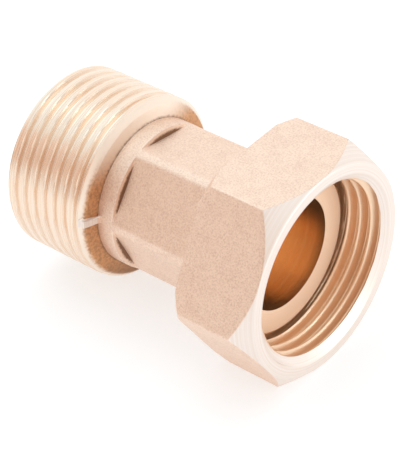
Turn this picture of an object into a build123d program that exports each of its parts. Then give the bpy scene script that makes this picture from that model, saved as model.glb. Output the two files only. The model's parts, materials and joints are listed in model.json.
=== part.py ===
"""Brass half union: a male tail piece with a forged hexagon neck, and the union nut that turns on it.

The pipe axis is X, with the nut's mouth towards +X. The sealing seat lies at x = 0, and one flat of the nut
faces down.
"""
import os
from math import cos, radians, tan

from build123d import *

# Three-quarter inch parallel pipe thread, outside on the tail piece and inside in the nut, plain at its crests
thread_major_d = 26.441
thread_minor_d = 24.117

# Tail piece: sealing flange and journal, which the nut turns on
bore_d = 16.0
bore_edge = 0.5
seat_d = 23.4
seat_edge = 0.5
flange_length = 2.5
journal_d = 18.6

# Tail piece: forged hexagon neck, its ridges rounded to the diameter of the collar behind it
neck_flats = 18.8
neck_round_d = 21.1
neck_length = 15.75
neck_turn = -8.9
step_angle = 83
collar_length = 2.6

# Tail piece: shoulder behind the thread with its steep foot, the male thread and its lead-in
shoulder_length = 1.1
foot_length = 0.4
foot_height = 1.75
thread_length = 13.9
lead_in = 0.9

# Tail piece: tabs of forging flash left on the parting line, between the collar and the shoulder
flash_width = 1.5
flash_height = 2.6
flash_length = 0.4
flash_draft = 20

# Union nut
nut_flats = 30.0
nut_ridge_radius = 0.4
nut_face_d = 29.7
nut_front_angle = 45
nut_back_face_d = 32.2
nut_back_angle = 45
nut_back_wall = 2.85
mouth_d = 26.9
mouth_angle = 120
seat_depth = 6.4
relief_d = 26.7
relief_start = 0.3

# Running clearances between the nut and the tail piece
journal_clearance = 0.15
end_clearance = 0.15

# Places along X that follow from the sizes above
nut_front = seat_depth
nut_shoulder = -flange_length - end_clearance
nut_back = nut_shoulder - nut_back_wall
neck_front = nut_back - end_clearance
neck_back = neck_front - neck_length
collar_back = neck_back - collar_length
thread_front = collar_back - shoulder_length
tail_end = thread_front - thread_length


def turned(*outline):
    """A body of revolution about X, from an outline of (x, radius) points."""
    return revolve(make_face(Polyline(*outline, close=True)), Axis.X)


def round_bar(diameter, x_low, x_high):
    """A round bar along X."""
    return turned((x_low, 0), (x_low, diameter / 2), (x_high, diameter / 2), (x_high, 0))


def hexagon_bar(flats, turn, x_low, x_high, ridge_radius=0):
    """A hexagon bar along X, with one ridge towards +Y before it is turned."""
    section = RegularPolygon(flats / 2, 6, major_radius=False, rotation=turn)
    if ridge_radius:
        section = fillet(section.vertices(), ridge_radius)
    return extrude(Plane.YZ.offset(x_low) * section, x_high - x_low)


def sealing_end():
    """Flange with the flat seat, on the journal that runs in the nut's back wall."""
    flange = round_bar(seat_d, -flange_length, 0)
    rim = flange.edges().filter_by(GeomType.CIRCLE).sort_by(Axis.X)[-1]
    return fillet(rim, seat_edge) + round_bar(journal_d, neck_front, -flange_length)


def hexagon_neck():
    """Forged hexagon whose ridges are rounded off to the collar's diameter."""
    bar = hexagon_bar(neck_flats, neck_turn, neck_back, neck_front)
    return bar & round_bar(neck_round_d, neck_back, neck_front)


def male_end():
    """Round collar with a steep conical step onto the neck's flats, the shoulder and the male thread."""
    collar_r = neck_round_d / 2
    core_r = bore_d / 2
    step_length = (collar_r - core_r) / tan(radians(step_angle))
    thread_r = thread_major_d / 2
    return turned(
        (neck_back + step_length, 0),
        (neck_back + step_length, core_r),
        (neck_back, collar_r),
        (collar_back, collar_r),
        (collar_back - foot_length, collar_r + foot_height),
        (thread_front, thread_r),
        (tail_end + lead_in, thread_r),
        (tail_end, thread_r - lead_in),
        (tail_end, 0),
    )


def flash_tab():
    """Fin of forging flash that bridges the shoulder and the collar, standing up along +Z."""
    collar_r = neck_round_d / 2
    top_r = collar_r + flash_height
    slope = (shoulder_length - foot_length) / (thread_major_d / 2 - collar_r - foot_height)
    top_back = collar_back - foot_length - (flash_height - foot_height) * slope
    top_front = top_back + flash_length
    foot_front = top_front + flash_height * tan(radians(flash_draft))
    root_r = collar_r - flash_width / 2
    outline = Polyline(
        (top_back, root_r),
        (top_back, top_r),
        (top_front, top_r),
        (foot_front, collar_r),
        (foot_front, root_r),
        close=True,
    )
    return extrude(Plane.XZ * make_face(outline), flash_width / 2, both=True)


def water_bore():
    """The bore right through, with its broken edge at the male end."""
    bore_r = bore_d / 2
    return turned(
        (tail_end, 0),
        (tail_end, bore_r + bore_edge),
        (tail_end + bore_edge, bore_r),
        (0, bore_r),
        (0, 0),
    )


def make_tail_piece():
    """The whole tail piece, one forged and turned solid."""
    tail = sealing_end() + hexagon_neck() + male_end()
    for ridge_angle in (neck_turn, neck_turn + 180):
        tail += Rot(X=ridge_angle - 90) * flash_tab()
    return tail - water_bore()


def nut_envelope():
    """Outside of the nut as it is turned: deep front chamfer, and broken corners at the back."""
    beyond_r = nut_flats / 2 / cos(radians(30)) + nut_ridge_radius
    face_r = nut_face_d / 2
    back_face_r = nut_back_face_d / 2
    return turned(
        (nut_back, 0),
        (nut_back, back_face_r),
        (nut_back + (beyond_r - back_face_r) * tan(radians(nut_back_angle)), beyond_r),
        (nut_front - (beyond_r - face_r) * tan(radians(nut_front_angle)), beyond_r),
        (nut_front, face_r),
        (nut_front, 0),
    )


def nut_socket():
    """Inside of the nut: countersunk mouth, thread, relief behind the thread, and the hole for the journal."""
    mouth_r = mouth_d / 2
    minor_r = thread_minor_d / 2
    relief_r = relief_d / 2
    hole_r = journal_d / 2 + journal_clearance
    return turned(
        (nut_front, 0),
        (nut_front, mouth_r),
        (nut_front - (mouth_r - minor_r) / tan(radians(mouth_angle / 2)), minor_r),
        (relief_start, minor_r),
        (relief_start - (relief_r - minor_r), relief_r),
        (nut_shoulder, relief_r),
        (nut_shoulder, hole_r),
        (nut_back, hole_r),
        (nut_back, 0),
    )


def make_union_nut():
    """The union nut, one solid that turns on the journal."""
    bar = hexagon_bar(nut_flats, 0, nut_back, nut_front, nut_ridge_radius)
    return (bar & nut_envelope()) - nut_socket()


os.makedirs("parts", exist_ok=True)
export_step(make_tail_piece(), "parts/tail_piece.step")
export_step(make_union_nut(), "parts/union_nut.step")
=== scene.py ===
"""Looks of a brass half union: a forged tail piece with a male pipe thread, and the nut that turns on it.

The pipe axis is X, with the nut's mouth towards +X. The sealing seat lies at x = 0, and one flat of the nut
faces down.
"""

import json
import math

import bpy
import numpy as np
from bpy.props import FloatProperty, FloatVectorProperty, PointerProperty
from bpy.types import Operator, Panel, PropertyGroup
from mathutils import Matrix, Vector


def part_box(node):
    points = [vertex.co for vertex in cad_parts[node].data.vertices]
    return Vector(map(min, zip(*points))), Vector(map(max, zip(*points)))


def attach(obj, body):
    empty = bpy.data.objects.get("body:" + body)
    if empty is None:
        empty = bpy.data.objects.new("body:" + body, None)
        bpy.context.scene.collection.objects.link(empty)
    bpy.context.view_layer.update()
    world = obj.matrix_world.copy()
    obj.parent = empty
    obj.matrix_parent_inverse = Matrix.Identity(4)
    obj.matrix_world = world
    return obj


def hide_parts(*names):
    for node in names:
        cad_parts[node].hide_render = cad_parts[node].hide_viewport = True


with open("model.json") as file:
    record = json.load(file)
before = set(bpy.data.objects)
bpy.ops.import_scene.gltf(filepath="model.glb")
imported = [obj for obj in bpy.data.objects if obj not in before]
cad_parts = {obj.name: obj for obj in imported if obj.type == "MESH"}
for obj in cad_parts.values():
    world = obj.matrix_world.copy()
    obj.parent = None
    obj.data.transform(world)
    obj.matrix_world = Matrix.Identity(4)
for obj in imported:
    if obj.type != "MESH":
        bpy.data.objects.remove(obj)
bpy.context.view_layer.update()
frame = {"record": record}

bl_info = {
    "name": "Half Union",
    "version": (1, 0, 0),
    "blender": (4, 5, 0),
    "location": "View3D > Sidebar > Half Union",
    "description": "Brass half union with a forged hexagon neck, a male pipe thread and a union nut",
    "category": "Add Mesh",
}

MM = 0.001

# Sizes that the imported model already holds
tail_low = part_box("tail_piece")[0]
nut_low, nut_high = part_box("union_nut")
mount_radius = {
    mount["name"]: mount["dims"]["r_mm"] * MM
    for mount in frame["record"]["mounts"]
    if "r_mm" in mount["dims"]
}

# Form of the pipe thread, with 55 degrees between its flanks, as shares of the pitch
FLANK_ANGLE = math.radians(27.5)
CREST_RADIUS = 0.137329
CREST_HALF = CREST_RADIUS * math.cos(FLANK_ANGLE)
CREST_DROP = CREST_RADIUS * (1 - math.sin(FLANK_ANGLE))
THREAD_DEPTH = 0.640327

# Angle from ridge to ridge of a hexagon
SIXTH = math.radians(60)

# How finely the meshes are divided: broken edges, thread, angles round the pipe in degrees
EDGE_STEPS = 4
RINGS_PER_PITCH = 20
ANGLE_STEP = 1.8
CLOSEST_ANGLES = 0.1
NECK_RIDGE_ANGLES = np.linspace(-4.5, 4.5, 13)
NUT_RIDGE_ANGLES = np.array([-1.2, -0.7, -0.45, -0.2, 0, 0.2, 0.45, 0.7, 1.2])
TAB_ANGLES = np.linspace(-3.6, 3.6, 25)
FLOOR_CORNERS = 96

# Distance between the rings of each kind of run
BORE_RINGS = 1.5 * MM
TURNED_RINGS = 1.2 * MM
NUT_BACK_RINGS = 1.0 * MM
NUT_FLAT_RINGS = 0.9 * MM
NECK_RINGS = 0.8 * MM
CHAMFER_RINGS = 0.6 * MM
NARROW_RINGS = 0.5 * MM
STEP_RINGS = 0.3 * MM
COLLAR_RINGS = 0.16 * MM

# Most of a run that one broken edge takes, least length of the neck's step, and what still counts as an edge
EDGE_SHARE = 0.45
LEAST_STEP = 0.03 * MM
SHARP_ANGLE = math.radians(40)

# Depth of the dents, crumbs and tool marks in the finishes
DENT_DEPTH = 0.06 * MM
MARK_DEPTH = 0.012 * MM

# Shot-blasted finish: how much the dents show beside the patches, the noise from shade to shine, how much the
# roughness varies, and the strength of the bump
DENT_SHARE = 0.75
DENT_TONES = (0.25, 0.65)
DENT_VARIATION = 0.14
DENT_BUMP = 0.7

# Machined finishes: tool feeds between the marks, the noise from shade to shine, how much the roughness
# varies, and the strength of the bump
MACHINED = {
    "turned": (1, (0.3, 0.65), 0.14, 0.25),
    "faced": (2, (0.3, 0.7), 0.1, 0.15),
    "bored": (3, (0.25, 0.75), 0.12, 0.2),
    "seated": (1, (0.3, 0.65), 0.14, 0.25),
    "tapped": (1, (0.3, 0.65), 0.14, 0.25),
}
FINISHES = ("forged", *MACHINED, "shoulder", "corner")
FORGED, TURNED, FACED, BORED, SEATED, TAPPED, SHOULDER, CORNER = range(len(FINISHES))

# Forging skin: the noise between patches of scale and skin, the least skin in a patch, the most painted shade
# laid on the lower side, how much smoother the tool's cut is, and the strength of the bump
SKIN_PATCHES = (0.35, 0.6)
LEAST_SKIN = 0.55
MOST_PAINTED_SHADE = 0.75
CUT_SMOOTHING = 0.2
CRUMB_BUMP = 0.5

# Forging skin: heights above the pipe axis between which painted light is laid on above and painted shade
# below
PAINTED_LIGHT_HEIGHTS = (6 * MM, 11 * MM)
PAINTED_SHADE_HEIGHTS = (-5 * MM, -12 * MM)

# Forging skin: distances beyond the collar's radius where the painted shade at its foot ends, where the
# tool's cut starts, and where the painted shade in the corner of the neck's step ends, all blurred by crumbs
# of scale
FOOT_SHADE_REACH = (-0.2 * MM, 0.4 * MM)
CUT_REACH = (1.8 * MM, 2.4 * MM)
CORNER_SHADE_REACH = (-0.75 * MM, -0.35 * MM)
CRUMB_BLUR = 0.5 * MM

# The tent of light: where its parts begin and end, as shares of a direction along the view, X, Y or Z
BEHIND = (-0.5, 0.5)
IN_FRONT = (-0.45, -0.3)
OVERHEAD = (0.62, 0.74)
FLAG_FOOT = (0.08, 0.2)
OFF_END = (0.7, 0.97)
END_TOP = (0.25, 0.5)

# The two panels of light: their widths and places in metres, and the turn of the lower one
KEY_WIDTH = 0.5
KEY_PLACE = (-0.1, 0.05, 0.55)
MOUTH_WIDTH = 0.2
MOUTH_PLACE = (0.4, 0.15, 0.03)
MOUTH_TURN = (0, math.radians(86), math.radians(20))
WHITE = (1, 1, 1)


def length(name, description, size):
    """A length in metres."""
    return FloatProperty(name=name, description=description, default=size, unit="LENGTH", precision=5)


def angle(name, description, degrees):
    """An angle, given in degrees and kept in radians."""
    return FloatProperty(name=name, description=description, default=math.radians(degrees), unit="ROTATION")


def share(name, description, value):
    """A number from 0 to 1."""
    return FloatProperty(name=name, description=description, default=value, min=0, max=1, subtype="FACTOR")


def brightness(name, description, value):
    """A number from 0 up."""
    return FloatProperty(name=name, description=description, default=value, min=0)


def power(name, description, watts):
    """The power of a light."""
    return FloatProperty(name=name, description=description, default=watts, min=0, unit="POWER")


def colour(name, description, value):
    """A linear colour."""
    return FloatVectorProperty(
        name=name, description=description, default=value, min=0, max=1, subtype="COLOR"
    )


class ThreadSizes(PropertyGroup):
    """Three-quarter inch parallel pipe thread."""

    pitch: length("Pitch", "Distance from crest to crest", 1.814 * MM)
    major_radius: length("Major Radius", "Radius of the male thread's crests", mount_radius["male_thread"])
    minor_radius: length("Minor Radius", "Radius of the nut's crests", mount_radius["nut_thread"])
    crest_cut: share("Crest Cut", "Part of the pitch that the male form is cut off by", 0.28)
    male_start: share("Male Start", "Part of a turn that the male thread is advanced by", 0.4)
    nut_start: share("Nut Start", "Part of a turn that the nut's thread is advanced by", 0.385)


class TailSizes(PropertyGroup):
    """Tail piece: sealing flange, journal, forged hexagon neck, collar, shoulder and male end."""

    end: length("End", "Place of the male end along the pipe", tail_low.x)
    bore_radius: length("Bore Radius", "Radius of the waterway", mount_radius["waterway"])
    bore_edge: length("Bore Edge", "Broken edge of the bore at the male end", 0.5 * MM)
    seat_radius: length("Seat Radius", "Outer radius of the sealing flange", 11.7 * MM)
    seat_edge: length("Seat Edge", "Rounded rim of the seat", 0.5 * MM)
    flange_length: length("Flange Length", "Thickness of the sealing flange", 2.5 * MM)
    journal_radius: length("Journal Radius", "Radius that the nut turns on", 9.3 * MM)
    neck_gap: length("Neck Gap", "Clearance between the nut's back and the neck", 0.15 * MM)
    neck_flats: length("Neck Flats", "Width of the hexagon neck across its flats", 18.8 * MM)
    neck_length: length("Neck Length", "Length of the hexagon neck", 15.75 * MM)
    neck_turn: angle("Neck Turn", "Turn of the neck's hexagon against the nut's", -8.9)
    collar_radius: length("Collar Radius", "Radius of the collar and the neck's ridges", 10.55 * MM)
    collar_length: length("Collar Length", "Length of the round collar", 2.6 * MM)
    step_angle: angle("Step Angle", "Steepness of the step from the collar to the flats", 83)
    shoulder_length: length("Shoulder Length", "Length of the shoulder behind the thread", 1.1 * MM)
    foot_length: length("Foot Length", "Length of the shoulder's steep foot", 0.4 * MM)
    foot_height: length("Foot Height", "Height of the shoulder's steep foot", 1.75 * MM)
    lead_in: length("Lead-in", "Chamfer at the start of the male thread", 0.9 * MM)
    flash_width: length("Flash Width", "Width of the tabs of forging flash", 1.15 * MM)
    flash_height: length("Flash Height", "Height of the tabs above the collar", 2.6 * MM)
    flash_length: length("Flash Length", "Length of the tabs along their top", 1.0 * MM)
    flash_turn: angle("Flash Turn", "Turn of the tabs against the neck's ridges", -1.8)
    flash_draft: angle("Flash Draft", "Slope of the tabs' front", 12)
    forged_edge: length("Forged Edge", "Softness of the forged edges", 0.16 * MM)
    turned_edge: length("Turned Edge", "Broken edge of turned faces", 0.08 * MM)


class NutSizes(PropertyGroup):
    """Union nut: hexagon, chamfers and its inside."""

    front: length("Front", "Place of the front face along the pipe", nut_high.x)
    back: length("Back", "Place of the back face along the pipe", nut_low.x)
    flats: length("Flats", "Width across the flats", nut_high.z - nut_low.z)
    ridge_radius: length("Ridge Radius", "Rounding of the hexagon's ridges", 0.4 * MM)
    face_radius: length("Face Radius", "Outer radius of the front face", 14.85 * MM)
    front_angle: angle("Front Angle", "Slope of the front chamfer, from the pipe axis", 45)
    back_face_radius: length("Back Face Radius", "Radius that the corners are cut to at the back", 16.1 * MM)
    back_angle: angle("Back Angle", "Slope of the back chamfer, from the pipe axis", 45)
    back_wall: length("Back Wall", "Thickness of the wall behind the flange", 2.85 * MM)
    mouth_radius: length("Mouth Radius", "Radius of the countersunk mouth", 13.45 * MM)
    mouth_slope: angle("Mouth Slope", "Half of the countersink's angle", 60)
    relief_radius: length("Relief Radius", "Radius of the relief behind the thread", 13.35 * MM)
    relief_start: length("Relief Start", "Where the thread runs into its relief", 0.3 * MM)
    hole_radius: length("Hole Radius", "Radius of the hole that turns on the journal", 9.45 * MM)
    edge: length("Edge", "Softness of the nut's edges", 0.14 * MM)


class BrassFinishes(PropertyGroup):
    """Colours and textures of the brass."""

    forged: colour("Forged", "Shot-blasted forged skin", (0.93, 0.73, 0.595))
    forged_shade: colour("Forged Shade", "Dents and patches of the forged skin", (0.75, 0.54, 0.425))
    turned: colour("Turned", "Freshly turned brass", (0.94, 0.80, 0.68))
    turned_shade: colour("Turned Shade", "Tool marks in turned brass", (0.87, 0.645, 0.475))
    faced: colour("Faced", "Finely faced brass", (0.90, 0.82, 0.765))
    faced_shade: colour("Faced Shade", "Tool marks in faced brass", (0.85, 0.735, 0.66))
    bored: colour("Bored", "Brass of the waterway", (1.0, 0.77, 0.53))
    bored_shade: colour("Bored Shade", "Drill marks in the waterway", (0.985, 0.685, 0.45))
    seated: colour("Seated", "Dull brass of the seat", (1.0, 0.77, 0.585))
    seated_shade: colour("Seated Shade", "Tool marks in the seat", (0.96, 0.70, 0.49))
    tapped: colour("Tapped", "Brass of the nut's thread", (1.0, 0.785, 0.585))
    tapped_shade: colour("Tapped Shade", "Tool marks in the nut's thread", (0.97, 0.67, 0.45))
    skin: colour("Skin", "Brown forging skin left on the shoulder", (0.68, 0.36, 0.18))
    # Scale colour: patches of scale on the shoulder, and painted shade below the shoulder, at its foot and in
    # the step's corner.
    scale: colour("Scale", "Dark scale left in the forged corners", (0.27, 0.15, 0.09))
    grain: length("Grain", "Size of the dents that shot blasting leaves", 0.22 * MM)
    mottle: length("Mottle", "Size of the patches on the forged skin", 1.6 * MM)
    tool_feed: length("Tool Feed", "Distance between the tool marks", 0.11 * MM)
    forged_roughness: share("Forged Roughness", "Roughness of the forged skin", 0.5)
    turned_roughness: share("Turned Roughness", "Roughness of turned faces", 0.28)
    faced_roughness: share("Faced Roughness", "Roughness of the chamfers", 0.5)
    seated_roughness: share("Seated Roughness", "Roughness of the seat", 0.6)
    seated_metallic: share("Seated Metallic", "Part of the seat that shines as metal, the rest is dull", 0.3)
    tapped_roughness: share("Tapped Roughness", "Roughness of the nut's thread", 0.36)
    tapped_metallic: share("Tapped Metallic", "Part of the nut's thread that shines as metal", 0.85)
    bored_roughness: share("Bored Roughness", "Roughness of the waterway", 0.24)
    skin_roughness: share("Skin Roughness", "Roughness of the brown forging skin", 0.55)


class StudioSettings(PropertyGroup):
    """Camera, floor and light."""

    camera_place: FloatVectorProperty(
        name="Camera Place",
        description="Where the camera stands",
        default=(0.12364, -0.14218, 0.15928),
        subtype="TRANSLATION",
    )
    camera_turn: FloatVectorProperty(
        name="Camera Turn",
        description="How the camera is turned",
        default=[math.radians(degrees) for degrees in (50.584, 4.908, 40.092)],
        subtype="EULER",
    )
    focal_length: FloatProperty(
        name="Focal Length",
        description="Focal length in mm, for a sensor as high as it is wide",
        default=148.69,
        unit="CAMERA",
    )
    sensor: FloatProperty(name="Sensor", description="Sensor height in mm", default=36.0, unit="CAMERA")
    floor_radius: length("Floor Radius", "Radius of the round floor", 3.0)
    floor_colour: colour("Floor", "Colour of the floor", (0.5, 0.5, 0.5))
    floor_glow: brightness("Floor Glow", "Light that comes up through the floor", 0.58)
    sky_top: brightness("Sky Top", "Brightness overhead", 1.1)
    sky_top_tint: colour("Top Tint", "Tint of the light from overhead", (0.85, 0.95, 1.0))
    sky_front_tint: colour("Front Tint", "Tint of the light from the front", (1.0, 0.95, 0.91))
    sky_back: brightness("Sky Back", "Brightness at the horizon behind the object", 1.14)
    sky_front: brightness("Sky Front", "Brightness at the horizon in front", 0.77)
    flag_depth: share("Flag", "How much a warm flag over the front horizon takes away", 0.12)
    flag_tint: colour("Flag Tint", "Tint of that flag", (1.0, 0.77, 0.645))
    sky_ends: brightness("Sky Ends", "Brightness off both ends of the pipe", 1.15)
    key_power: power("Key", "Power of the overhead panel", 0.45)
    mouth_power: power("Mouth", "Power of the panel before the mouth", 0.35)


class HalfUnionSettings(PropertyGroup):
    """Everything that a user would change."""

    thread: PointerProperty(type=ThreadSizes)
    tail: PointerProperty(type=TailSizes)
    nut: PointerProperty(type=NutSizes)
    brass: PointerProperty(type=BrassFinishes)
    studio: PointerProperty(type=StudioSettings)


class Wire:
    """A node's socket that takes part in Python arithmetic. Each operation adds a Math node to its tree."""

    def __init__(self, graph, socket):
        self.graph = graph
        self.socket = socket

    def sibling(self, name):
        """Another output of the same node."""
        return Wire(self.graph, self.graph.find(self.socket.node.outputs, name))

    def __add__(self, other):
        return self.graph.math("ADD", self, other)

    def __radd__(self, other):
        return self.graph.math("ADD", other, self)

    def __sub__(self, other):
        return self.graph.math("SUBTRACT", self, other)

    def __rsub__(self, other):
        return self.graph.math("SUBTRACT", other, self)

    def __mul__(self, other):
        return self.graph.math("MULTIPLY", self, other)

    def __rmul__(self, other):
        return self.graph.math("MULTIPLY", other, self)

    def __truediv__(self, other):
        return self.graph.math("DIVIDE", self, other)

    def __rtruediv__(self, other):
        return self.graph.math("DIVIDE", other, self)

    def __pow__(self, other):
        return self.graph.math("POWER", self, other)

    def __neg__(self):
        return self.graph.math("MULTIPLY", self, -1)

    def __abs__(self):
        return self.graph.math("ABSOLUTE", self)


class Graph:
    """Adds nodes to one node tree."""

    def __init__(self, tree):
        self.tree = tree
        tree.nodes.clear()

    @staticmethod
    def find(sockets, name):
        """A socket in use, by its name or its number."""
        if isinstance(name, int):
            return sockets[name]
        return next(socket for socket in sockets if socket.enabled and socket.name == name)

    def node(self, kind, settings=None, sockets=None, output=0):
        """Adds a node: its type, its settings, then the values or links of its sockets."""
        made = self.tree.nodes.new(kind)
        for name, value in (settings or {}).items():
            setattr(made, name, value)
        for name, value in (sockets or {}).items():
            socket = self.find(made.inputs, name)
            if isinstance(value, Wire):
                self.tree.links.new(value.socket, socket)
            else:
                socket.default_value = value
        if made.outputs:
            return Wire(self, self.find(made.outputs, output))
        return None

    def math(self, operation, *values):
        """A Math node."""
        return self.node("ShaderNodeMath", {"operation": operation}, dict(enumerate(values)))

    def ease(self, value, low, high):
        """0 at low and below, 1 at high and above, smooth between."""
        sockets = {"Value": value, "From Min": low, "From Max": high}
        return self.node("ShaderNodeMapRange", {"interpolation_type": "SMOOTHSTEP"}, sockets, "Result")

    def mix(self, factor, first, second):
        """A mixture of two colours."""
        sockets = {"Factor": factor, "A": first, "B": second}
        return self.node("ShaderNodeMix", {"data_type": "RGBA"}, sockets, "Result")

    def noise(self, vector, size, detail=2.0, roughness=0.5):
        """Noise from 0 to 1 whose patches have the given size."""
        sockets = {"Vector": vector, "Scale": 1 / size, "Detail": detail, "Roughness": roughness}
        return self.node("ShaderNodeTexNoise", None, sockets, 0)


def rgba(value):
    """A colour with full opacity."""
    return (*value, 1.0)


def new_material(name):
    """An empty material and the graph of its nodes."""
    material = bpy.data.materials.new(name)
    material.use_nodes = True
    return material, Graph(material.node_tree)


def finish_metal(graph, base_colour, roughness, height, bump_strength, bump_distance, metallic=1.0):
    """Ends a material in a metal shader with a bump."""
    sockets = {"Strength": bump_strength, "Distance": bump_distance, "Height": height}
    normal = graph.node("ShaderNodeBump", None, sockets)
    sockets = {
        "Base Color": base_colour,
        "Metallic": metallic,
        "Roughness": roughness,
        "Normal": normal,
    }
    shader = graph.node("ShaderNodeBsdfPrincipled", None, sockets)
    graph.node("ShaderNodeOutputMaterial", None, {"Surface": shader})


def forged_brass(brass):
    """Shot-blasted forging: fine dents all over, and faint patches."""
    material, graph = new_material("forged_brass")
    place = graph.node("ShaderNodeTexCoord", output="Object")
    dents = graph.noise(place, brass.grain, detail=2.0, roughness=0.55)
    patches = graph.noise(place, brass.mottle, detail=3.0, roughness=0.6)
    blasted = DENT_SHARE * dents + (1 - DENT_SHARE) * patches
    base_colour = graph.mix(graph.ease(blasted, *DENT_TONES), rgba(brass.forged_shade), rgba(brass.forged))
    roughness = brass.forged_roughness + DENT_VARIATION * (dents - 0.5)
    finish_metal(graph, base_colour, roughness, dents, DENT_BUMP, DENT_DEPTH)
    return material


def about_axis(graph):
    """Object coordinates, the place along the pipe and the distance from its axis."""
    place = graph.node("ShaderNodeTexCoord", output="Object")
    along = graph.node("ShaderNodeSeparateXYZ", None, {"Vector": place}, "X")
    return place, along, (along.sibling("Y") ** 2 + along.sibling("Z") ** 2) ** 0.5


def machined_brass(brass, finish):
    """Turned, faced, bored, seated or tapped brass, with the fine rings that its tool leaves."""
    feeds, tones, variation, bump = MACHINED[finish]
    material, graph = new_material(f"{finish}_brass")
    _, along, radius = about_axis(graph)
    across = graph.node("ShaderNodeCombineXYZ", None, {"X": along, "Y": radius})
    marks = graph.noise(across, feeds * brass.tool_feed, detail=2.0, roughness=0.6)
    shade, shine = getattr(brass, f"{finish}_shade"), getattr(brass, finish)
    base_colour = graph.mix(graph.ease(marks, *tones), rgba(shade), rgba(shine))
    roughness = getattr(brass, f"{finish}_roughness") + variation * (marks - 0.5)
    metallic = getattr(brass, f"{finish}_metallic", 1.0)
    finish_metal(graph, base_colour, roughness, marks, bump, MARK_DEPTH, metallic)
    return material


def crumbled_radius(graph, brass):
    """Distance from the pipe axis blurred by crumbs of scale, the crumbs, and the height above the axis."""
    place, along, radius = about_axis(graph)
    crumbs = graph.noise(place, 2 * brass.grain, detail=3.0, roughness=0.6)
    return radius + CRUMB_BLUR * (crumbs - 0.5), crumbs, along.sibling("Z")


def past_collar(graph, radius, collar_radius, reach):
    """0 before a reach beyond the collar's radius, 1 past it."""
    return graph.ease(radius, collar_radius + reach[0], collar_radius + reach[1])


def shoulder_brass(brass, collar_radius):
    """Brown forging skin behind the thread: turned at the thread, painted light on top, painted shade below
    and at its foot.
    """
    material, graph = new_material("shoulder_brass")
    radius, crumbs, above = crumbled_radius(graph, brass)
    patchy = LEAST_SKIN + (1 - LEAST_SKIN) * graph.ease(crumbs, *SKIN_PATCHES)
    skin = graph.mix(patchy, rgba(brass.scale), rgba(brass.skin))
    # Painted shade: the lower side of the shoulder is darkened towards the scale colour.
    skin = graph.mix(MOST_PAINTED_SHADE * graph.ease(above, *PAINTED_SHADE_HEIGHTS), skin, rgba(brass.scale))
    # Painted light: the top of the shoulder is lightened to the turned colour.
    skin = graph.mix(graph.ease(above, *PAINTED_LIGHT_HEIGHTS), skin, rgba(brass.turned))
    # Painted shade in the corner at the shoulder's foot, next to the collar.
    clear_of_foot_shade = past_collar(graph, radius, collar_radius, FOOT_SHADE_REACH)
    base_colour = graph.mix(clear_of_foot_shade, rgba(brass.scale), skin)
    tool_cut = past_collar(graph, radius, collar_radius, CUT_REACH)
    base_colour = graph.mix(tool_cut, base_colour, rgba(brass.turned))
    roughness = brass.skin_roughness - CUT_SMOOTHING * tool_cut
    finish_metal(graph, base_colour, roughness, crumbs, CRUMB_BUMP, DENT_DEPTH)
    return material


def corner_brass(brass, collar_radius):
    """Forged step with painted shade in its corner."""
    material, graph = new_material("corner_brass")
    radius, crumbs, _ = crumbled_radius(graph, brass)
    # Painted shade: the corner of the neck's step is darkened towards the scale colour.
    clear_of_corner_shade = past_collar(graph, radius, collar_radius, CORNER_SHADE_REACH)
    base_colour = graph.mix(clear_of_corner_shade, rgba(brass.scale), rgba(brass.forged))
    finish_metal(graph, base_colour, brass.forged_roughness, crumbs, CRUMB_BUMP, DENT_DEPTH)
    return material


def brass_materials(settings):
    """The materials in the order of FINISHES, made for the first piece and shared by the next."""
    made = [bpy.data.materials.get(f"{finish}_brass") for finish in FINISHES]
    if None in made:
        brass, collar_radius = settings.brass, settings.tail.collar_radius
        made = [forged_brass(brass)]
        made += [machined_brass(brass, finish) for finish in MACHINED]
        made += [shoulder_brass(brass, collar_radius), corner_brass(brass, collar_radius)]
    return made


def ring_angles(*groups):
    """Angles round the pipe in radians, closer together at groups of centres and offsets in degrees."""
    fine = [np.add.outer(centres, offsets).ravel() for centres, offsets in groups]
    angles = np.sort(np.concatenate([np.arange(0, 360, ANGLE_STEP), *fine]) % 360)
    kept = np.diff(angles, append=angles[0] + 360) > CLOSEST_ANGLES
    return np.radians(angles[kept])


def hexagon_radius(angles, flats, first_ridge, ridge_radius):
    """Distance from the axis to a hexagon with rounded ridges, at each angle."""
    from_ridge = (angles - first_ridge + SIXTH / 2) % SIXTH - SIXTH / 2
    flat = flats / 2 / np.cos(SIXTH / 2 - np.abs(from_ridge))
    centre = (flats / 2 - ridge_radius) / math.cos(SIXTH / 2)
    inside = np.maximum(ridge_radius**2 - (centre * np.sin(from_ridge)) ** 2, 0)
    ridge = centre * np.cos(from_ridge) + np.sqrt(inside)
    tangent = math.atan2(ridge_radius * math.sin(SIXTH / 2), centre + ridge_radius * math.cos(SIXTH / 2))
    return np.where(np.abs(from_ridge) < tangent, ridge, flat)


def hexagon_ridges(first_ridge):
    """The angles of all six ridges, in degrees."""
    return math.degrees(first_ridge) + np.arange(0, 360, 60)


def soft_min(first, second, blend):
    """The smaller of two lengths, with the crossing rounded off."""
    overlap = np.maximum(blend - np.abs(first - second), 0) / blend
    return np.minimum(first, second) - overlap**2 * blend / 4


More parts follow.
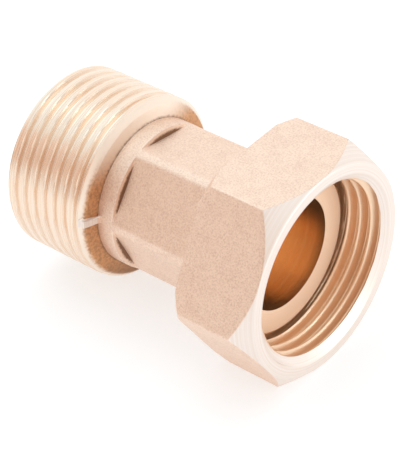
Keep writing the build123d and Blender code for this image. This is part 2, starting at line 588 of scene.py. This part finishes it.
class Blank:
    """A closed section swept round the pipe axis. Its corners may lie elsewhere at each angle."""

    def __init__(self, angles, thread_finish):
        self.angles = angles
        self.thread_finish = thread_finish
        self.corners = []

    def corner(self, x, radius, edge, finish, step, threaded=False):
        """Adds a corner with its broken edge, and the finish, ring spacing and thread of the run after it."""
        place = np.stack([np.broadcast_to(value, self.angles.shape) for value in (x, radius)])
        self.corners.append((place, edge, finish, step, threaded))

    def rounded_corner(self, index):
        """The rings of one corner: a short curve from run to run, or the corner itself."""
        place, edge = self.corners[index][:2]
        if not edge:
            return [place]
        ends = []
        for other in (self.corners[index - 1][0], self.corners[(index + 1) % len(self.corners)][0]):
            reach = np.linalg.norm(other - place, axis=0)
            ends.append(place + (other - place) / reach * np.minimum(edge, EDGE_SHARE * reach))
        curve = []
        for t in np.linspace(0, 1, EDGE_STEPS + 1):
            curve.append((1 - t) ** 2 * ends[0] + 2 * t * (1 - t) * place + t**2 * ends[1])
        return curve

    def rings(self):
        """All rings in order, each with the finish of the strip after it and whether it is threaded."""
        curves = [self.rounded_corner(index) for index in range(len(self.corners))]
        made = []
        for index, curve in enumerate(curves):
            finish, step, threaded = self.corners[index][2:]
            start, stop = curve[-1], curves[(index + 1) % len(curves)][0]
            count = max(1, math.ceil(np.linalg.norm(stop - start, axis=0).max() / step))
            run = [start + (stop - start) * part / count for part in range(1, count)]
            made += [(place, finish, threaded) for place in curve + run]
        return made

    def build(self, name, materials, reshape=None):
        """The mesh object of the blank. reshape may change the radii and finishes before it is built."""
        rings = self.rings()
        x, radius = np.stack([ring[0] for ring in rings], axis=1)
        threaded = np.repeat([[ring[2]] for ring in rings], len(self.angles), axis=1)
        finishes = np.repeat([[ring[1]] for ring in rings], len(self.angles), axis=1)
        if reshape:
            plain = radius
            radius, finishes = reshape(x, plain, finishes)
            threaded &= radius <= plain
        points = np.stack([x, -radius * np.sin(self.angles), radius * np.cos(self.angles)], axis=-1)
        count, around = x.shape
        numbers = np.arange(count * around).reshape(count, around)
        following = np.roll(numbers, -1, axis=0)
        quads = np.stack(
            [numbers, following, np.roll(following, -1, axis=1), np.roll(numbers, -1, axis=1)], axis=-1
        )
        mesh = bpy.data.meshes.new(name)
        mesh.from_pydata(points.reshape(-1, 3).tolist(), [], quads.reshape(-1, 4).tolist())
        for material in materials:
            mesh.materials.append(material)
        mesh.polygons.foreach_set("material_index", finishes.ravel())
        mark = mesh.attributes.new("threaded", "BOOLEAN", "POINT")
        mark.data.foreach_set("value", threaded.ravel())
        mark = mesh.attributes.new("thread_faces", "BOOLEAN", "FACE")
        mark.data.foreach_set("value", (threaded & (finishes == self.thread_finish)).ravel())
        piece = bpy.data.objects.new(name, mesh)
        bpy.context.scene.collection.objects.link(piece)
        return piece


def thread_tree():
    """Geometry Nodes tree that cuts a right-hand pipe thread into the marked rings of a blank."""
    tree = bpy.data.node_groups.get("pipe_thread")
    if tree:
        return tree
    tree = bpy.data.node_groups.new("pipe_thread", "GeometryNodeTree")
    inlets = {
        "Blank": "NodeSocketGeometry",
        "Pitch": "NodeSocketFloat",
        "Major Radius": "NodeSocketFloat",
        "Start": "NodeSocketFloat",
        "Crest Cut": "NodeSocketFloat",
        "Inside": "NodeSocketBool",
        "Finish": "NodeSocketMaterial",
    }
    for name, kind in inlets.items():
        tree.interface.new_socket(name, in_out="INPUT", socket_type=kind)
    tree.interface.new_socket("Threaded", in_out="OUTPUT", socket_type="NodeSocketGeometry")
    graph = Graph(tree)
    blank = graph.node("NodeGroupInput", output="Blank")
    sizes = [blank.sibling(name) for name in list(inlets)[1:]]
    pitch, major_radius, start, crest_cut, inside, finish = sizes
    place = graph.node("GeometryNodeInputPosition")
    x = graph.node("ShaderNodeSeparateXYZ", None, {"Vector": place}, "X")
    y, z = x.sibling("Y"), x.sibling("Z")
    radius = (y * y + z * z) ** 0.5
    turn = graph.math("ARCTAN2", -y, z) / math.tau
    from_crest = abs(graph.math("FRACT", x / pitch - turn + start) - 0.5)
    from_root = 0.5 - from_crest
    on_crest = graph.math("MINIMUM", from_crest, CREST_HALF)
    in_root = graph.math("MINIMUM", from_root, CREST_HALF)
    crest = CREST_RADIUS - (CREST_RADIUS**2 - on_crest**2) ** 0.5
    root = THREAD_DEPTH - CREST_RADIUS + (CREST_RADIUS**2 - in_root**2) ** 0.5
    flank = CREST_DROP + (from_crest - CREST_HALF) / math.tan(FLANK_ANGLE)
    depth = graph.math("MINIMUM", graph.math("MAXIMUM", flank, crest), root)
    depth = graph.math("MAXIMUM", depth - crest_cut, 0)
    cut_radius = major_radius - depth * pitch
    outer = graph.math("MINIMUM", radius, cut_radius)
    inner = graph.math("MAXIMUM", radius, cut_radius)
    sockets = {"Switch": inside, "False": outer, "True": inner}
    grow = graph.node("GeometryNodeSwitch", {"input_type": "FLOAT"}, sockets) / radius
    moved = graph.node("ShaderNodeCombineXYZ", None, {"X": x, "Y": y * grow, "Z": z * grow})
    settings = {"data_type": "BOOLEAN"}
    marked = graph.node("GeometryNodeInputNamedAttribute", settings, {"Name": "threaded"})
    sockets = {"Geometry": blank, "Selection": marked, "Position": moved}
    threaded = graph.node("GeometryNodeSetPosition", None, sockets)
    threaded = graph.node("GeometryNodeRealizeInstances", None, {"Geometry": threaded})
    marked = graph.node("GeometryNodeInputNamedAttribute", settings, {"Name": "thread_faces"})
    sockets = {"Geometry": threaded, "Selection": marked, "Material": finish}
    threaded = graph.node("GeometryNodeSetMaterial", None, sockets)
    graph.node("NodeGroupOutput", None, {"Threaded": threaded})
    return tree


def cut_thread(piece, thread, start, crest_cut, inside, finish):
    """Cuts the thread into a blank and leaves a plain mesh with smooth faces and crisp edges."""
    tree = thread_tree()
    modifier = piece.modifiers.new("pipe_thread", "NODES")
    modifier.node_group = tree
    sizes = {
        "Pitch": thread.pitch,
        "Major Radius": thread.major_radius,
        "Start": start,
        "Crest Cut": crest_cut,
        "Inside": inside,
        "Finish": finish,
    }
    for item in tree.interface.items_tree:
        if item.name in sizes:
            modifier[item.identifier] = sizes[item.name]
    evaluated = piece.evaluated_get(bpy.context.evaluated_depsgraph_get())
    blank_mesh = piece.data
    threaded_mesh = bpy.data.meshes.new_from_object(evaluated)
    piece.modifiers.clear()
    piece.data = threaded_mesh
    bpy.data.meshes.remove(blank_mesh)
    threaded_mesh.name = piece.name
    threaded_mesh.shade_smooth()
    threaded_mesh.set_sharp_from_angle(angle=SHARP_ANGLE)


class HALFUNION_OT_tail_piece(Operator):
    """Makes the tail piece: seat, journal, hexagon neck, collar, shoulder and male thread"""

    bl_idname = "half_union.tail_piece"
    bl_label = "Tail Piece"

    def execute(self, context):
        settings = context.scene.half_union
        tail, thread = settings.tail, settings.thread
        materials = brass_materials(settings)
        ridge = SIXTH / 2 + tail.neck_turn
        ridges = hexagon_ridges(ridge)
        tabs = ridges[1::3] + math.degrees(tail.flash_turn)
        angles = ring_angles((ridges, NECK_RIDGE_ANGLES), (tabs, TAB_ANGLES))
        neck_front = nut_low.x - tail.neck_gap
        neck_back = neck_front - tail.neck_length
        collar_back = neck_back - tail.collar_length
        foot_back = collar_back - tail.foot_length
        foot_radius = tail.collar_radius + tail.foot_height
        thread_front = collar_back - tail.shoulder_length
        neck = hexagon_radius(angles, tail.neck_flats, ridge, 0)
        neck = soft_min(neck, tail.collar_radius, tail.forged_edge)
        step = (tail.collar_radius - neck) / math.tan(tail.step_angle)
        thread_step = thread.pitch / RINGS_PER_PITCH
        blank = Blank(angles, TURNED)
        soft, broken = tail.forged_edge, tail.turned_edge
        blank.corner(0, tail.bore_radius, broken, SEATED, NECK_RINGS)
        blank.corner(0, tail.seat_radius, tail.seat_edge, TURNED, TURNED_RINGS)
        blank.corner(-tail.flange_length, tail.seat_radius, broken, TURNED, TURNED_RINGS)
        blank.corner(-tail.flange_length, tail.journal_radius, broken, TURNED, TURNED_RINGS)
        blank.corner(neck_front, tail.journal_radius, 0, TURNED, CHAMFER_RINGS)
        blank.corner(neck_front, neck, soft, FORGED, NECK_RINGS)
        blank.corner(neck_back + step + LEAST_STEP, neck, soft / 2, CORNER, STEP_RINGS)
        blank.corner(neck_back, tail.collar_radius, soft, FORGED, COLLAR_RINGS)
        blank.corner(collar_back, tail.collar_radius, broken, SHOULDER, thread_step, True)
        blank.corner(foot_back, foot_radius, broken, SHOULDER, thread_step, True)
        blank.corner(thread_front, thread.major_radius, 0, TURNED, thread_step, True)
        blank.corner(tail.end + tail.lead_in, thread.major_radius, 0, TURNED, thread_step, True)
        blank.corner(tail.end, thread.major_radius - tail.lead_in, broken, TURNED, TURNED_RINGS)
        blank.corner(tail.end, tail.bore_radius + tail.bore_edge, broken, TURNED, NARROW_RINGS)
        blank.corner(tail.end + tail.bore_edge, tail.bore_radius, broken, BORED, BORE_RINGS)

        def raise_flash(x, radius, finishes):
            """Lifts the tabs of flash beside two opposite ridges, from the collar onto the shoulder."""
            top = tail.collar_radius + tail.flash_height
            slope = (foot_back - thread_front) / (thread.major_radius - foot_radius)
            top_back = foot_back - (top - foot_radius) * slope
            top_front = top_back + tail.flash_length
            foot = top_front + tail.flash_height * math.tan(tail.flash_draft)
            outline = np.interp(x, [top_back, top_front, foot], [top, top, tail.collar_radius])
            half_turn = math.pi
            from_tab = (angles - math.radians(tabs[0]) + half_turn / 2) % half_turn - half_turn / 2
            aside = np.abs(from_tab) * top
            across = np.clip((tail.flash_width / 2 + soft / 2 - aside) / soft, 0, 1)
            outside = (x < foot) & (x > thread_front) & (radius > tail.collar_radius - soft)
            raised = np.where(outside, np.maximum(radius, radius + (outline - radius) * across), radius)
            on_ridge = tail.collar_radius - neck < soft
            # The painted shade of the step's corner is kept off the neck's ridges.
            finishes = np.where((finishes == CORNER) & on_ridge, FORGED, finishes)
            # Painted highlight: the raised tabs take the paler faced finish so that they look brightly lit.
            finishes = np.where(raised > radius, FACED, finishes)
            return raised, finishes

        piece = blank.build("tail_piece_brass", materials, raise_flash)
        cut_thread(piece, thread, thread.male_start, thread.crest_cut, False, materials[TURNED])
        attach(piece, "tail")
        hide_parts("tail_piece")
        return {"FINISHED"}


class HALFUNION_OT_union_nut(Operator):
    """Makes the union nut: chamfered hexagon, countersunk mouth, thread, relief and journal hole"""

    bl_idname = "half_union.union_nut"
    bl_label = "Union Nut"

    def execute(self, context):
        settings = context.scene.half_union
        nut, thread = settings.nut, settings.thread
        materials = brass_materials(settings)
        ridge = SIXTH / 2
        angles = ring_angles((hexagon_ridges(ridge), NUT_RIDGE_ANGLES))
        hexagon = hexagon_radius(angles, nut.flats, ridge, nut.ridge_radius)
        back_face = np.minimum(hexagon, nut.back_face_radius)
        chamfer_back = nut.back + (hexagon - back_face) * math.tan(nut.back_angle) + nut.edge / 4
        chamfer_front = nut.front - (hexagon - nut.face_radius) * math.tan(nut.front_angle)
        shoulder = nut.back + nut.back_wall
        mouth_depth = (nut.mouth_radius - thread.minor_radius) / math.tan(nut.mouth_slope)
        relief_ramp = nut.relief_radius - thread.minor_radius
        thread_step = thread.pitch / RINGS_PER_PITCH
        blank = Blank(angles, TAPPED)
        blank.corner(nut.front, nut.mouth_radius, nut.edge / 2, FACED, NARROW_RINGS)
        blank.corner(nut.front, nut.face_radius, nut.edge, FACED, CHAMFER_RINGS)
        blank.corner(chamfer_front, hexagon, nut.edge, FORGED, NUT_FLAT_RINGS)
        blank.corner(chamfer_back, hexagon, nut.edge, FORGED, NARROW_RINGS)
        blank.corner(nut.back, back_face, nut.edge, FACED, NUT_BACK_RINGS)
        blank.corner(nut.back, nut.hole_radius, nut.edge, TAPPED, NUT_BACK_RINGS)
        blank.corner(shoulder, nut.hole_radius, nut.edge, TAPPED, NUT_BACK_RINGS)
        blank.corner(shoulder, nut.relief_radius, nut.edge, TAPPED, NARROW_RINGS)
        relief_front = nut.relief_start - relief_ramp
        blank.corner(relief_front, nut.relief_radius, nut.edge, TAPPED, thread_step, True)
        blank.corner(nut.relief_start, thread.minor_radius, 0, TAPPED, thread_step, True)
        blank.corner(nut.front - mouth_depth, thread.minor_radius, 0, FACED, thread_step, True)
        piece = blank.build("union_nut_brass", materials)
        cut_thread(piece, thread, thread.nut_start, 0.0, True, materials[TAPPED])
        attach(piece, "nut")
        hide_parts("union_nut")
        return {"FINISHED"}


def make_floor(studio):
    """A round pale floor under the nut's lower flat."""
    radius = studio.floor_radius
    turns = np.linspace(0, math.tau, FLOOR_CORNERS, endpoint=False)
    rim = [(radius * math.cos(turn), radius * math.sin(turn), nut_low.z) for turn in turns]
    mesh = bpy.data.meshes.new("floor")
    mesh.from_pydata(rim, [], [range(FLOOR_CORNERS)])
    material, graph = new_material("floor_paper")
    sockets = {
        "Base Color": rgba(studio.floor_colour),
        "Roughness": 0.9,
        "Specular IOR Level": 0.1,
        "Emission Color": rgba(WHITE),
        "Emission Strength": studio.floor_glow,
    }
    shader = graph.node("ShaderNodeBsdfPrincipled", None, sockets)
    graph.node("ShaderNodeOutputMaterial", None, {"Surface": shader})
    mesh.materials.append(material)
    floor = bpy.data.objects.new("floor", mesh)
    bpy.context.scene.collection.objects.link(floor)


def make_sky(studio, view_direction):
    """A pale tent: cool overhead, bright behind and off both ends, with a warm flag in front."""
    world = bpy.data.worlds.new("studio_tent")
    world.use_nodes = True
    graph = Graph(world.node_tree)
    direction = graph.node("ShaderNodeTexCoord", output="Generated")
    height = graph.node("ShaderNodeSeparateXYZ", None, {"Vector": direction}, "Z")
    sockets = {0: direction, 1: (view_direction.x, view_direction.y, 0)}
    along_view = graph.node("ShaderNodeVectorMath", {"operation": "DOT_PRODUCT"}, sockets, "Value")
    behind = graph.ease(along_view, *BEHIND)
    overhead = graph.ease(height, *OVERHEAD)
    in_front = 1 - graph.ease(height.sibling("Y"), *IN_FRONT)
    flag = in_front * graph.ease(height, *FLAG_FOOT) * (1 - overhead)
    horizon = studio.sky_front + (studio.sky_back - studio.sky_front) * behind
    horizon = horizon * (1 - studio.flag_depth * flag)
    strength = horizon + overhead * (studio.sky_top - horizon)
    off_end = graph.ease(abs(height.sibling("X")), *OFF_END) * (1 - graph.ease(height, *END_TOP))
    strength = strength + (studio.sky_ends - strength) * off_end
    tint = graph.mix(behind, rgba(studio.sky_front_tint), rgba(WHITE))
    tint = graph.mix(flag, tint, rgba(studio.flag_tint))
    tint = graph.mix(overhead, tint, rgba(studio.sky_top_tint))
    background = graph.node("ShaderNodeBackground", None, {"Color": tint, "Strength": strength})
    graph.node("ShaderNodeOutputWorld", None, {"Surface": background})
    bpy.context.scene.world = world


def make_panel(name, width, watts, tint, place, turn):
    """A round soft panel, which lights along its own -Z."""
    light = bpy.data.lights.new(name, "AREA")
    light.shape = "DISK"
    light.size = width
    light.energy = watts
    light.color = tint
    panel = bpy.data.objects.new(name, light)
    panel.location = place
    panel.rotation_euler = turn
    panel.visible_camera = False
    bpy.context.scene.collection.objects.link(panel)


def make_lights(studio):
    """One large soft panel overhead, and one low before the nut's mouth, which lights its inside."""
    overhead = (0, 0, 0)
    make_panel("overhead_panel", KEY_WIDTH, studio.key_power, studio.sky_top_tint, KEY_PLACE, overhead)
    make_panel("mouth_panel", MOUTH_WIDTH, studio.mouth_power, WHITE, MOUTH_PLACE, MOUTH_TURN)


def make_camera(studio):
    """The camera at the photograph's angle."""
    data = bpy.data.cameras.new("camera")
    data.sensor_fit = "VERTICAL"
    data.sensor_width = studio.sensor
    data.sensor_height = studio.sensor
    data.lens = studio.focal_length
    data.clip_start = 0.01
    camera = bpy.data.objects.new("camera", data)
    camera.location = studio.camera_place
    camera.rotation_euler = studio.camera_turn
    bpy.context.scene.collection.objects.link(camera)
    bpy.context.scene.camera = camera
    return camera


class HALFUNION_OT_stage(Operator):
    """Makes the floor, the soft light and the camera"""

    bl_idname = "half_union.stage"
    bl_label = "Stage"

    def execute(self, context):
        studio = context.scene.half_union.studio
        camera = make_camera(studio)
        context.view_layer.update()
        make_sky(studio, -camera.matrix_world.to_3x3().col[2])
        make_floor(studio)
        make_lights(studio)
        context.scene.view_settings.view_transform = "Standard"
        return {"FINISHED"}


class HALFUNION_PT_panel(Panel):
    """Lists the pieces and their sizes"""

    bl_idname = "HALFUNION_PT_panel"
    bl_label = "Half Union"
    bl_space_type = "VIEW_3D"
    bl_region_type = "UI"
    bl_category = "Half Union"

    def draw(self, context):
        settings = context.scene.half_union
        for operator in (HALFUNION_OT_tail_piece, HALFUNION_OT_union_nut, HALFUNION_OT_stage):
            self.layout.operator(operator.bl_idname)
        for name in HalfUnionSettings.__annotations__:
            box = self.layout.box()
            box.label(text=name.title())
            group = getattr(settings, name)
            for size in type(group).__annotations__:
                box.prop(group, size)


classes = (
    ThreadSizes,
    TailSizes,
    NutSizes,
    BrassFinishes,
    StudioSettings,
    HalfUnionSettings,
    HALFUNION_OT_tail_piece,
    HALFUNION_OT_union_nut,
    HALFUNION_OT_stage,
    HALFUNION_PT_panel,
)


def register():
    for made in classes:
        bpy.utils.register_class(made)
    bpy.types.Scene.half_union = PointerProperty(type=HalfUnionSettings)


def unregister():
    del bpy.types.Scene.half_union
    for made in reversed(classes):
        bpy.utils.unregister_class(made)


def main():
    register()
    bpy.ops.half_union.tail_piece()
    bpy.ops.half_union.union_nut()
    bpy.ops.half_union.stage()


if __name__ == "__main__":
    main()
